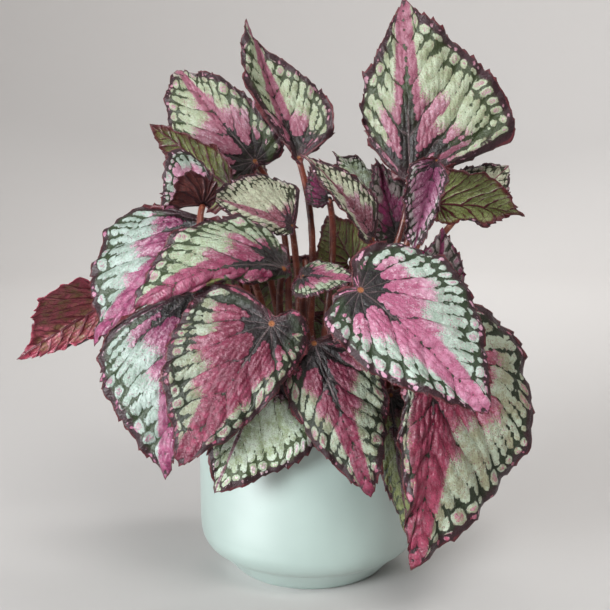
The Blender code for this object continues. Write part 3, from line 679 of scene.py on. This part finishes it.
class Nodes:
    """Adds nodes to one material, and gives their outputs as wires."""

    def __init__(self, name):
        self.material = bpy.data.materials.new(name)
        self.material.use_nodes = True
        self.nodes = self.material.node_tree.nodes
        self.shader = self.nodes["Principled BSDF"]

    def add(self, kind, output, inputs, **settings):
        """The output of a new node, once its settings are made and its inputs are plugged."""
        node = self.nodes.new("ShaderNode" + kind)
        for setting, value in settings.items():
            setattr(node, setting, value)
        for socket, value in inputs.items():
            plug(node.inputs[socket], value)
        return Wire(self, node.outputs[output])

    def vector(self, field):
        return self.add("Attribute", "Vector", {}, attribute_name=field)

    def parts(self, field):
        """The three parts of a mesh field."""
        split = self.add("SeparateXYZ", 0, {0: self.vector(field)}).socket.node
        return [Wire(self, output) for output in split.outputs]

    def place(self):
        return self.add("TexCoord", "Object", {})

    def noise(self, vector, scale, detail=3.0, roughness=0.55):
        """A soft noise round 0, mostly between -0.3 and 0.3."""
        inputs = {"Vector": vector, "Scale": scale, "Detail": detail, "Roughness": roughness}
        return self.add("TexNoise", "Fac", inputs) - 0.5

    def cells(self, vector, scale, feature="F1"):
        inputs = {"Vector": vector, "Scale": scale}
        return self.add("TexVoronoi", "Distance", inputs, feature=feature)

    def coats(self, colour, *coats):
        """The colour with others laid over it in turn, each by its share."""
        for share, coat in coats:
            colour = self.add("Mix", 2, {0: share, 6: colour, 7: coat}, data_type="RGBA")
        return colour

    def bump(self, height, strength, distance):
        inputs = {"Strength": strength, "Distance": distance, "Height": height}
        plug(self.shader.inputs["Normal"], self.add("Bump", "Normal", inputs))

    def shade(self, colour, roughness, specular=0.5):
        """The finished material."""
        plug(self.shader.inputs["Base Color"], colour)
        plug(self.shader.inputs["Roughness"], roughness)
        plug(self.shader.inputs["Specular IOR Level"], specular)
        return self.material

    def blade_pattern(self):
        edge, share, _ = self.parts("reach")
        return pattern(*self.parts("flat"), edge, share, *self.parts("look")), edge, share


def upper_material(name, palette):
    silver, silver_low, rose, rose_low, green, star_colour = map(numbers, palette)
    nodes = Nodes(name)
    marks, edge, share = nodes.blade_pattern()
    flat = nodes.vector("flat")
    clump = nodes.noise(flat, 0.30, 2.0)
    fine = nodes.noise(flat, 0.85, 4.0, 0.62)
    specks = nodes.noise(flat, 1.7, 2.0, 0.6)
    broad = nodes.noise(flat, 0.11, 2.0)
    pillow = nodes.cells(flat, 0.23)
    pebble = nodes.cells(flat, 1.0)
    lengthwise = {0: 0.28 * marks["along"], 1: 0.7 * marks["main"], 2: marks["number"]}
    streaks = nodes.noise(nodes.add("CombineXYZ", 0, lengthwise), 1.0, 4.0, 0.65)
    patch = smooth(-0.25, 0.25, marks["light"] + 0.7 * (0.42 - pillow) + 2.1 * clump + 1.9 * fine)
    rosy = smooth(0.34, 0.62, marks["pink"] + 0.9 * fine + 0.8 * specks + 0.9 * streaks)

    # Painted sheen: whitish streaks and crests on the pink, in place of the sheen on its bumpy surface. The
    # paler the silver of a palette, the whiter this painted sheen.
    pale_share = 2.3 * silver[1] - 0.63
    lilac = (1.25 * silver[1], 0.97 * silver[1], 1.1 * silver[1])
    painted_sheen = tuple(pale_share * a + (1 - pale_share) * b for a, b in zip(lilac, rose))
    beside_band = 1.0 - 0.85 * marks["banded"]
    outer = smooth(0.2, 0.55, share)
    outer_band = outer * marks["banded"]
    # Deeper pink in noisy mottles, and painted shade on the pillow knobs: darker round their sides, lighter
    # on their raised middles
    mottle_and_knob_shade = smooth(-0.22, 0.26, 0.6 * (pillow - 0.42) + 0.9 * fine + 1.1 * streaks)
    # Painted highlight: the pink paler on the crests between the side veins, towards the margin
    crest_highlight = smooth(0.7, 2.2, least(marks["between"], marks["main"]) + 1.6 * fine + 2.4 * streaks)
    sheen_streaks = smooth(0.0, 0.12, 0.9 * streaks + 0.45 * fine + 0.3 * clump)
    # Painted shade: the pink darker in the grooves along the minor veins
    groove_shade = smooth(0.9, 0.1, marks["between"] + 0.8 * fine) * smooth(0.2, 0.4, share) * beside_band
    rose_mix = nodes.coats(
        rose,
        (mottle_and_knob_shade, rose_low),
        (0.3 * crest_highlight * outer * beside_band, painted_sheen),
        (0.9 * smooth(0.74, 0.22, share + 0.6 * broad), rose_low),
        # Painted sheen in whitish streaks over the pink
        (sheen_streaks * (0.34 + 0.5 * outer - 0.5 * outer_band), painted_sheen),
        (0.35 * outer_band, rose_low),
        (0.6 * groove_shade, rose_low))
    pale = nodes.coats(
        silver_low,
        (smooth(-0.16, 0.14, broad + 0.7 * fine + 0.5 * streaks), silver),
        (0.75 * smooth(0.08, 0.18, specks + 0.4 * clump), rose_low),
        (rosy, rose_mix))

    dark = nodes.coats(
        green,
        (smooth(0.6, 0.3, share + 0.5 * broad), star_colour),
        (0.5 * smooth(0.05, 0.2, specks), tuple(2.2 * c for c in green)),
        (smooth(7.0, 3.0, edge + 7.0 * broad + 3.0 * clump), MARGIN_COLOUR))
    thread = least(marks["main"] - 0.16 * (1.0 - 0.6 * share), marks["out"] - 0.4 * (1.0 - 0.7 * share))
    thread = smooth(0.26, -0.02, thread)
    colour = nodes.coats(
        dark,
        (patch, pale),
        (0.7 * thread * smooth(0.5, 0.3, share) * (1.0 - patch), PALE_VEIN),
        (thread * patch * smooth(0.85, 0.5, share) * (0.25 + 0.45 * rosy) * beside_band, DARK_VEIN),
        (smooth(0.9, 0.1, edge + 1.6 * fine), EDGE_COLOUR),
        (smooth(2.3, 1.1, marks["radius"]), STEM_SPOT))
    nodes.bump(0.8 * patch - 1.1 * pillow - 0.5 * pebble + 0.8 * fine + 0.4 * streaks, 0.7, 0.0009)
    return nodes.shade(colour, 0.36 + 0.35 * fine + 0.06 * (1.0 - patch), 0.36)


def lower_material(name, colours):
    between, blotch, margin, veins = map(numbers, colours)
    nodes = Nodes(name)
    marks, edge, share = nodes.blade_pattern()
    flat = nodes.vector("flat")
    fine = nodes.noise(flat, 0.8, 3.0, 0.6)
    broad = nodes.noise(flat, 0.12, 2.0)
    net = nodes.cells(flat, 0.24, "DISTANCE_TO_EDGE")
    main = least(marks["main"] - 1.0 * (1.0 - 0.6 * share), marks["out"] - 1.2 * (1.0 - 0.7 * share))
    lines = least(main, marks["between"] - 0.15 + 0.7 * smooth(0.55, 0.2, share))
    colour = nodes.coats(
        between,
        (smooth(-0.15, 0.2, broad + 0.6 * fine), blotch),
        (0.6 * smooth(0.09, 0.02, net), veins),
        (smooth(8.5, 1.8, edge + 6.0 * fine + 7.0 * broad), margin),
        (smooth(0.5, -0.1, lines + 0.8 * fine), veins))
    nodes.bump(smooth(1.0, -0.3, lines) + 0.3 * smooth(0.1, 0.0, net) + 0.4 * fine, 0.6, 0.0008)
    return nodes.shade(colour, 0.45 + 0.3 * fine, 0.35)


def stem_material():
    nodes = Nodes("stem_skin")
    place = nodes.place()
    streaks = nodes.noise(place, 260.0, 4.0)
    broad = nodes.noise(place, 28.0, 2.0)
    colour = nodes.coats(
        (0.105, 0.020, 0.015),
        (smooth(-0.2, 0.2, broad + 0.6 * streaks), (0.25, 0.062, 0.033)),
        (smooth(0.10, 0.22, streaks), (0.34, 0.14, 0.085)))
    nodes.bump(streaks, 0.5, 0.0004)
    return nodes.shade(colour, 0.42)


def hair_material():
    nodes = Nodes("fine_hair")
    tint = smooth(-0.15, 0.15, nodes.noise(nodes.place(), 120.0))
    return nodes.shade(nodes.coats((0.36, 0.15, 0.12), (tint, (0.55, 0.42, 0.37))), 0.5)


def glaze_material():
    nodes = Nodes("mint_glaze_coat")
    place = nodes.place()
    cloud = nodes.noise(place, 14.0, 3.0)
    speck = nodes.noise(place, 900.0, 2.0)
    colour = nodes.coats(
        (0.375, 0.485, 0.448),
        (smooth(-0.2, 0.2, cloud), (0.420, 0.540, 0.500)),
        (0.35 * smooth(0.20, 0.26, speck), (0.30, 0.39, 0.35)))
    nodes.bump(nodes.noise(place, 55.0, 2.0) + 0.12 * speck, 0.25, 0.0006)
    for level, value in (("Coat Weight", 1.0), ("Coat Roughness", 0.42), ("Coat IOR", 1.7)):
        nodes.shader.inputs[level].default_value = value
    return nodes.shade(colour, 0.46 + 0.12 * cloud, 0.8)


def peat_material():
    nodes = Nodes("peat_crumb")
    place = nodes.place()
    grain = nodes.noise(place, 420.0, 5.0, 0.7)
    clump = nodes.cells(place, 190.0)
    colour = nodes.coats(
        (0.012, 0.008, 0.006),
        (smooth(0.1, 0.8, clump + 0.8 * grain), (0.060, 0.038, 0.024)),
        (smooth(0.16, 0.24, grain), (0.16, 0.11, 0.07)))
    nodes.bump(grain + clump, 0.9, 0.0012)
    return nodes.shade(colour, 0.92)


def wall_material():
    return Nodes("pale_floor").shade((0.58, 0.565, 0.555), 0.85)


def blade_relief(marks, share, edge):
    """How far the upper side rises between its veins, in millimetres on a leaf of ordinary size."""
    main, between, out = marks["main"], marks["between"], marks["out"]
    rise = 1.2 * (1 - np.exp(-(main / 3.2)**2)) + 0.7 * (1 - np.exp(-(out / 2.6)**2))
    rise += 0.4 * (1 - np.exp(-(between / 1.5)**2)) * smooth(0.2, 0.45, share)
    nearest_vein = np.minimum(main, between + 2 * smooth(0.45, 0.2, share))
    rise += 0.5 * marks["knob"]**2 * smooth(0.3, 2.2, nearest_vein)
    return rise * smooth(2.0, 10.0, marks["radius"]) * (0.25 + 0.75 * smooth(0.0, 6.0, edge))


def hair_spikes(roots, ways, beside, reach, thick):
    """Slim three-sided spikes from root points, as corner points and triangles."""
    across = unit_rows(np.cross(ways, beside))
    other = np.cross(ways, across)
    corners = [roots + thick * across, roots + thick * (0.87 * other - 0.5 * across),
               roots - thick * (0.87 * other + 0.5 * across), roots + reach[:, None] * ways]
    base = 4 * np.arange(len(roots))[:, None]
    sides = [base + side for side in ((0, 1, 3), (1, 2, 3), (2, 0, 3), (0, 2, 1))]
    return np.stack(corners, 1).reshape(-1, 3), np.vstack(sides)


def stay_inside(points, low, high):
    """Points eased back from the sides of the model's box where they come near or pass them."""
    for limit, way in ((low, 1), (high, -1)):
        depth = way * (points - limit)
        eased = EASE * np.log1p(np.exp(np.minimum(depth, 5) / EASE))
        points = limit + way * np.where(depth < 5, eased, depth)
    return points


def clear_of_pot(points):
    """Points of a blade moved out of the pot's wall, where a frill reaches into it."""
    radius = np.hypot(points[:, 0], points[:, 1])
    wanted = POT_RADIUS + POT_GAP
    reached = (points[:, 2] < POT_HEIGHT + POT_GAP) & (radius > POT_RADIUS - POT_WALL) & (radius < wanted)
    points[reached, :2] *= (wanted / radius[reached])[:, None]
    return points


def make_blade(name, leaf, kind, index, materials, box):
    rng = np.random.default_rng(1000 + index)
    flat, share, around, faces, plain = blade_grid(leaf, rng)
    count, rim_count = len(flat), len(plain)
    rim = np.arange(count - rim_count, count)
    edge = margin_distance(flat, plain)
    edge[rim] = 0.0
    size = float(np.clip((leaf.length + max(leaf.half)) / ORDINARY_SIZE, *SIZE_RANGE))
    # A narrow side has a narrow margin
    narrow = np.minimum(size, leaf.half / ORDINARY_HALF)[(flat[:, 1] < 0).astype(int)]
    size *= MARK_SIZES.get(name, 1.0)
    fields = {"flat": np.column_stack([flat / size, np.full(count, LEAF_OFFSET * index)]),
              "reach": np.column_stack([edge / narrow, share, np.zeros(count)]),
              "look": np.broadcast_to(np.array(kind, float), (count, 3))}
    marks = pattern(*fields["flat"].T, edge / narrow, share, *fields["look"].T)
    relief = size * (blade_relief(marks, share, edge / narrow) - DISH * smooth(3, 12, edge))
    middle = leaf.place(flat, share, around)
    normals = point_normals(middle, faces)
    waves = rng.uniform(0, 2 * np.pi, len(FRILLS))
    frill = sum(height * np.sin(2 * np.pi * turns * around + phase)
                for (height, turns), phase in zip(FRILLS, waves))
    frill = size * share**6 * frill * smooth(0, 0.03, np.minimum(around, 1 - around))
    middle = clear_of_pot(middle + normals * (relief + frill)[:, None])
    normals = point_normals(middle, faces)
    half_thick = choose(smooth(0.8, 1.0, share), BLADE_THICKNESS, MARGIN_THICKNESS)[:, None] / 2
    # Fine hairs along the margin
    outward = unit_rows(middle[rim] - middle[rim - rim_count])
    chosen = rng.integers(0, rim_count, int(perimeter(middle[rim]) * MARGIN_HAIRS_PER_MM))
    ways = unit_rows(outward[chosen] + 0.45 * rng.standard_normal((len(chosen), 3)))
    hair_points, hair_faces = hair_spikes(
        middle[rim][chosen] - 0.2 * outward[chosen], ways, normals[rim][chosen],
        rng.uniform(*MARGIN_HAIR_REACH, len(chosen)), MARGIN_HAIR_RADIUS)
    points = np.vstack([middle + normals * half_thick, middle - normals * half_thick, hair_points])
    wall = ring_faces(count - rim_count, rim_count, 2 * count - rim_count, rim_count)
    all_faces = np.vstack([faces, faces[:, ::-1] + count, wall, hair_faces + 2 * count])
    slots = np.repeat([0, 1, 2], [len(faces), len(faces) + len(wall), len(hair_faces)])
    rows = np.concatenate([np.arange(count), np.arange(count), rim[chosen].repeat(4)])
    fields = {key: value[rows] for key, value in fields.items()}
    return add_mesh(f"leaf_{name}_blade", stay_inside(points, *box), all_faces, materials, slots, fields)


def stem_frame(path):
    """Directions across a path, turned as little as may be along it."""
    ends = np.vstack([path[:1], path, path[-1:]])
    directions = unit_rows(ends[:-2] - ends[2:])
    axis, axes = np.array([1.0, 0.0, 0.0]), []
    for direction in directions:
        axis = unit(axis - direction * axis.dot(direction))
        axes.append(axis)
    return np.array(axes), np.cross(directions, axes), directions


def stem_radius(share):
    """The stem's radius, from 0 under the blade to 1 in the soil."""
    return choose(share, STEM_RADIUS_HIGH, STEM_RADIUS_LOW)


def make_stem(name, leaf, index, materials):
    rng = np.random.default_rng(5000 + index)
    path = leaf.stem_path(STEM_RINGS)
    count = len(path)
    axes, others, directions = stem_frame(path)
    turn = 2 * np.pi * np.arange(STEM_SIDES) / STEM_SIDES
    ribs = 1 + 0.04 * np.cos(3 * turn + index)[None, :] + 0.03 * rng.standard_normal((count, 1))
    radius = stem_radius(np.arange(count) / (count - 1))[:, None] * ribs * 0.97
    cosine, sine_part = circle(STEM_SIDES).T[:, None, :, None]
    ring = cosine * axes[:, None] + sine_part * others[:, None]
    points = (path[:, None] + ring * radius[..., None]).reshape(-1, 3)
    first = np.arange(1, STEM_SIDES - 1)
    faces = [ring_faces(k * STEM_SIDES, STEM_SIDES, (k + 1) * STEM_SIDES, STEM_SIDES)
             for k in range(count - 1)]
    end = triangles((0 * first, first, first + 1))
    faces = np.vstack([*faces, end, end[:, [0, 2, 1]] + (count - 1) * STEM_SIDES])
    # Hairs: slim three-sided spikes that stand out from the skin
    length = np.linalg.norm(np.diff(path, axis=0), axis=1).sum() - STEM_DEPTH
    hairs = int(length * HAIRS_PER_MM)
    place = rng.uniform(0.5, count - 3.0, hairs)
    low = place.astype(int)
    centre = choose((place - low)[:, None], path[low], path[low + 1])
    spin = rng.uniform(0, 2 * np.pi, hairs)[:, None]
    outward = np.cos(spin) * axes[low] + np.sin(spin) * others[low]
    across = np.cross(directions[low], outward)
    reach = rng.uniform(*STEM_HAIR_REACH, hairs)
    lean_along, lean_across = rng.standard_normal((2, hairs, 1))
    ways = unit_rows(outward + 0.35 * lean_along * directions[low] + 0.3 * lean_across * across)
    roots = centre + outward * stem_radius(place / (count - 1))[:, None] * 0.94
    hair_points, hair_faces = hair_spikes(roots, ways, directions[low], reach, STEM_HAIR_RADIUS)
    slots = np.repeat([0, 1], [len(faces), len(hair_faces)])
    return add_mesh(f"leaf_{name}_stem", np.vstack([points, hair_points]),
                    np.vstack([faces, hair_faces + len(points)]), materials, slots)


def turned(profile, segments):
    """A closed surface turned round the Z axis from (radius, height) points that start and end on it."""
    i = np.arange(segments)
    j = (i + 1) % segments
    points, faces, start, before, before_count = [], [], 0, 0, 0
    for radius, height in profile:
        count = segments if radius else 1
        points.append(np.column_stack([radius * circle(segments)[:count], np.full(count, height)]))
        if before_count == 1:
            faces.append(triangles((before + 0 * i, start + j, start + i)))
        elif count == 1 and before_count:
            faces.append(triangles((before + i, before + j, start + 0 * i)))
        elif before_count:
            faces.append(ring_faces(start, segments, before, segments))
        before, before_count = start, count
        start += count
    return np.vstack(points), np.vstack(faces)


def arc(centre, radius, start, end, steps):
    angles = np.radians(np.linspace(start, end, steps))
    return [(centre[0] + radius * math.cos(a), centre[1] + radius * math.sin(a)) for a in angles]


def pot_profile():
    outer = smooth_curve([(POT_RADIUS - 11, POT_CREASE_HEIGHT), (POT_RADIUS - 4.5, POT_CREASE_HEIGHT + 4.5),
                          (POT_RADIUS - 1, POT_CREASE_HEIGHT + 11), (POT_RADIUS, POT_SHOULDER_HEIGHT)], 22)
    foot_edge = arc((POT_FOOT_RADIUS - 1.2, 1.2), 1.2, -90, -30, 4)
    cone = [(POT_FOOT_RADIUS + (POT_RADIUS - 11 - POT_FOOT_RADIUS) * t, POT_CREASE_HEIGHT * t)
            for t in np.linspace(0.12, 0.93, 8)]
    wall = [(POT_RADIUS, z) for z in np.linspace(POT_SHOULDER_HEIGHT + 6, POT_HEIGHT - 8, 8)]
    rim = arc((POT_RADIUS - POT_WALL / 2, POT_HEIGHT - POT_WALL / 2), POT_WALL / 2, 0, 180, 14)
    inner = smooth_curve([(POT_RADIUS - POT_WALL, POT_HEIGHT - POT_WALL), POT_HOLLOW_WALL, POT_HOLLOW_TURN,
                          (POT_FOOT_RADIUS, POT_FLOOR)], 12)[1:]
    return [(0, 0), *foot_edge, *cone, *outer, *wall, *rim, *inner, (0, POT_FLOOR)]


def make_soil(peat):
    """The dressed soil: a crumbled top on plain sides, with loose crumbs pressed into it."""
    rng = np.random.default_rng(77)
    rings = [(SOIL_EDGE * k, SOIL_TOP + SOIL_DOME * (1 - k * k)) for k in np.linspace(0.985, 0.02, 44)]
    points, faces = turned([*SOIL_SIDES, *rings, (0, SOIL_TOP + SOIL_DOME)], 120)
    top = points[:, 2] > SOIL_TOP - 1
    x, y = points[top, :2].T
    lump = np.zeros(top.sum())
    for size, height in SOIL_LUMPS:
        for _ in range(5):
            angle, phase = rng.uniform(0, 2 * np.pi, 2)
            way = x * np.cos(angle) + y * np.sin(angle)
            lump += height * 0.45 * np.sin(way * 2 * np.pi / size + phase)
    points[top, 2] += np.clip(lump, -1.4, 0.9) - 0.5
    octahedron = np.kron(np.eye(3), [[1], [-1]])
    belt = [(0, 2), (2, 1), (1, 3), (3, 0)]
    sides = np.array([(a, b, 4) for a, b in belt] + [(b, a, 5) for a, b in belt])
    all_points, all_faces = [points], [faces]
    for k in range(CRUMBS):
        radius = (SOIL_EDGE - 3) * math.sqrt(rng.uniform())
        angle = rng.uniform(0, 2 * np.pi)
        size = rng.uniform(*CRUMB_SIZES)
        shape = octahedron * size * rng.uniform(0.55, 1.3, (6, 1)) * (1, 1, 0.7)
        turn = rng.uniform(0, np.pi)
        c, s = math.cos(turn), math.sin(turn)
        height = SOIL_TOP + SOIL_DOME * (1 - (radius / SOIL_EDGE)**2) - 0.2
        centre = (radius * math.cos(angle), radius * math.sin(angle), height)
        all_points.append(shape @ np.array([[c, s, 0], [-s, c, 0], [0, 0, 1]]) + centre)
        all_faces.append(sides + len(points) + 6 * k)
    return add_mesh("soil_crumbled", np.vstack(all_points), np.vstack(all_faces), [peat])


def make_stage():
    """A pale round floor that curves up into a far wall, so that every view has it behind the plant."""
    curve = arc((FLOOR_FLAT, FLOOR_CURVE), FLOOR_CURVE, -90, 0, 14)[1:]
    profile = [(0.0, 0.0), (400.0, 0.0), (FLOOR_FLAT, 0.0), *curve, (FLOOR_FLAT + FLOOR_CURVE, WALL_TOP)]
    points, faces = turned(profile, 96)
    floor_object = add_mesh("floor", points, faces[:, ::-1], [wall_material()])
    floor_object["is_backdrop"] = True


def make_lights():
    world = bpy.data.worlds.new("studio")
    world.use_nodes = True
    background = world.node_tree.nodes["Background"]
    plug(background.inputs["Color"], WORLD_COLOUR)
    plug(background.inputs["Strength"], WORLD_STRENGTH)
    bpy.context.scene.world = world
    for name, (place, aim, size, power, colour, beam) in LAMPS.items():
        data = bpy.data.lights.new(name, "AREA")
        data.energy, data.color, data.shape = power, colour, "RECTANGLE"
        data.size, data.size_y = size
        data.spread = math.radians(beam)
        lamp = add_object(name, data)
        lamp.location = place
        lamp.rotation_euler = (Vector(aim) - Vector(place)).to_track_quat("-Z", "Y").to_euler()
        lamp.visible_diffuse = name != "gleam"


def make_camera():
    data = bpy.data.cameras.new("camera")
    data.sensor_width, data.lens = 36.0, CAMERA_LENS
    data.clip_start, data.clip_end = 0.02, 50.0
    camera = add_object("camera", data)
    camera.location = CAMERA_PLACE
    camera.rotation_euler = (math.radians(90 - CAMERA_PITCH), 0, 0)
    bpy.context.scene.camera = camera


def put_in_place(piece, node):
    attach(piece, "root")
    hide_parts(node)


def main():
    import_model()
    cad_low, cad_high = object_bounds()
    bpy.context.scene.view_settings.view_transform = "Standard"
    make_camera()
    make_stage()
    make_lights()

    box = np.array([cad_low, cad_high]) / METRES
    uppers = {key: upper_material("leaf_upper_" + key, row) for key, row in read_rows(PALETTES).items()}
    lowers = {key: lower_material("leaf_under_" + key, row) for key, row in read_rows(UNDERSIDES).items()}
    skin, hair = stem_material(), hair_material()
    looks, cupped = read_rows(LOOKS), read_rows(CUPPED)
    for index, (name, cells) in enumerate(read_rows(SHAPES).items()):
        palette, underside, *kind = looks[name]
        leaf = Leaf(name, cupped.get(name, cells))
        blade = make_blade(name, leaf, kind, index, [uppers[palette], lowers[underside], hair], box)
        # The cupped leaf keeps the stem of the model's open one
        stem = make_stem(name, Leaf(name, cells), index, [skin, hair])
        for piece in (blade, stem):
            put_in_place(piece, "leaf_" + name)
    pot = add_mesh("pot_glazed", *turned(pot_profile(), POT_SEGMENTS), [glaze_material()])
    put_in_place(pot, "pot")
    put_in_place(make_soil(peat_material()), "soil")

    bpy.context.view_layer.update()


main()
